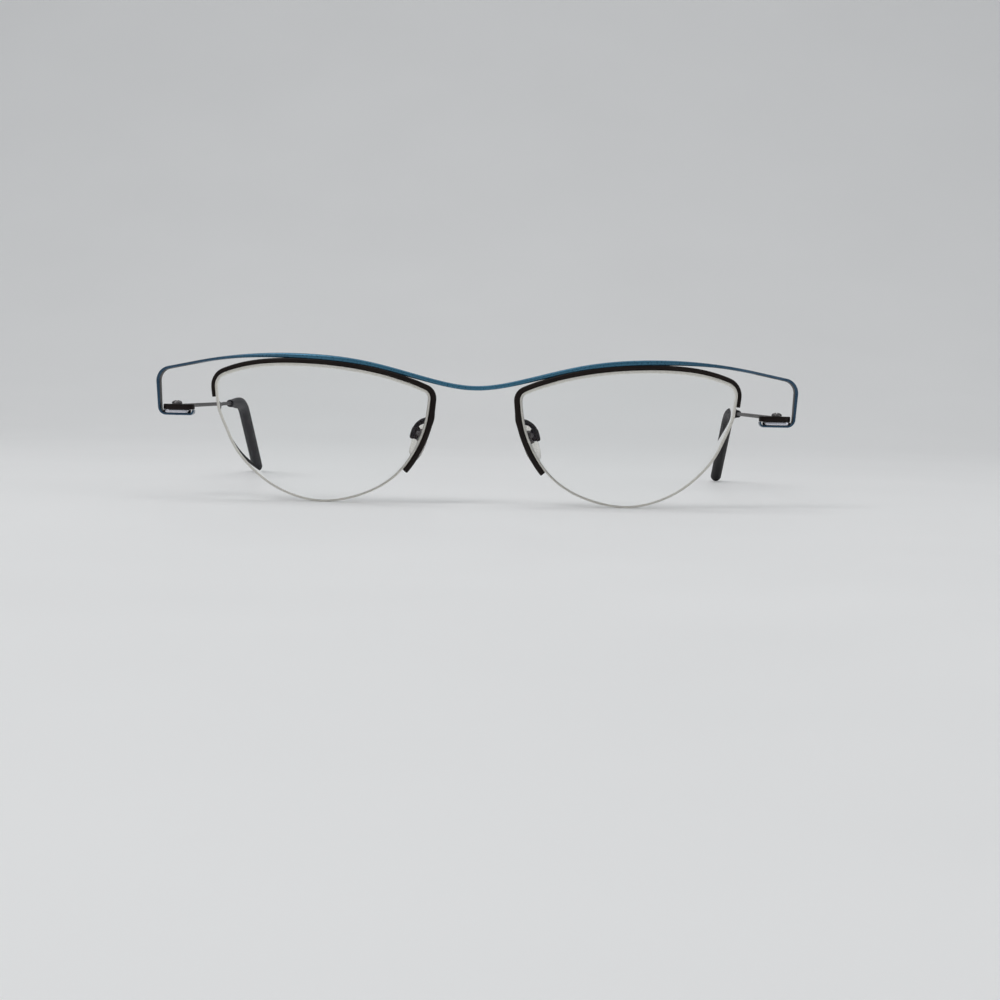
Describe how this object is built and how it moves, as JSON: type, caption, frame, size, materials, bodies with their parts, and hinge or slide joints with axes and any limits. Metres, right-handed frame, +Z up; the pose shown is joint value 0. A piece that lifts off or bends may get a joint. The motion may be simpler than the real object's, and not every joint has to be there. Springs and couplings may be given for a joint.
{
  "type": "eyeglasses",
  "caption": "Semi-rimless wire eyeglasses: a blue brow bar over dark half rims, clear lenses, and thin folding wire temples with black rubber tips.",
  "frame": {"origin": "middle of the footprint, on the surface that the lenses and temple tips stand on, temples open", "axes": "+Z up, -Y the way the wearer looks, +X the wearer's left"},
  "size_m": [0.1416, 0.1394, 0.0321],
  "materials": {
    "blue_metal": "satin blue lacquer on steel",
    "dark_metal": "satin brown-black coating",
    "bright_metal": "bright",
    "steel": "dark nickel",
    "lens": "clear, polished",
    "nylon": "translucent nylon",
    "silicone": "clear silicone",
    "black_rubber": "matte"
  },
  "bodies": {
    "frame": {"brow_bar": "blue_metal", "rim_left": "dark_metal", "rim_right": "dark_metal", "rim_liner_left": "nylon", "rim_liner_right": "nylon", "lens_left": "lens", "lens_right": "lens", "nylon_cord_left": "nylon", "nylon_cord_right": "nylon", "pad_arm_left": "dark_metal", "pad_arm_right": "dark_metal", "pad_box_left": "dark_metal", "pad_box_right": "dark_metal", "pad_screw_left": "dark_metal", "pad_screw_right": "dark_metal", "hinge_washer_left": "bright_metal", "hinge_washer_right": "bright_metal", "hinge_screw_left": "steel", "hinge_screw_right": "steel"},
    "temple_left": {"temple_left": "dark_metal", "temple_tip_left": "black_rubber"},
    "temple_right": {"temple_right": "dark_metal", "temple_tip_right": "black_rubber"},
    "pad_left": {"nose_pad_left": "silicone", "pad_insert_left": "steel"},
    "pad_right": {"nose_pad_right": "silicone", "pad_insert_right": "steel"}
  },
  "joints": [
    {"name": "temple_left_fold", "type": "hinge", "parent": "frame", "child": "temple_left", "pos_m": [0.0662, -0.05714, 0.01982], "axis": [0, 0, 1], "range_deg": [0, 90]},
    {"name": "temple_right_fold", "type": "hinge", "parent": "frame", "child": "temple_right", "pos_m": [-0.0662, -0.05714, 0.01982], "axis": [0, 0, -1], "range_deg": [0, 85]},
    {"name": "pad_left_rock", "type": "hinge", "parent": "frame", "child": "pad_left", "pos_m": [0.01295, -0.06315, 0.01532], "axis": [0.5878, 0.809, 0], "range_deg": [-10, 10]},
    {"name": "pad_right_rock", "type": "hinge", "parent": "frame", "child": "pad_right", "pos_m": [-0.01295, -0.06315, 0.01532], "axis": [0.5878, -0.809, 0], "range_deg": [-10, 10]}
  ]
}
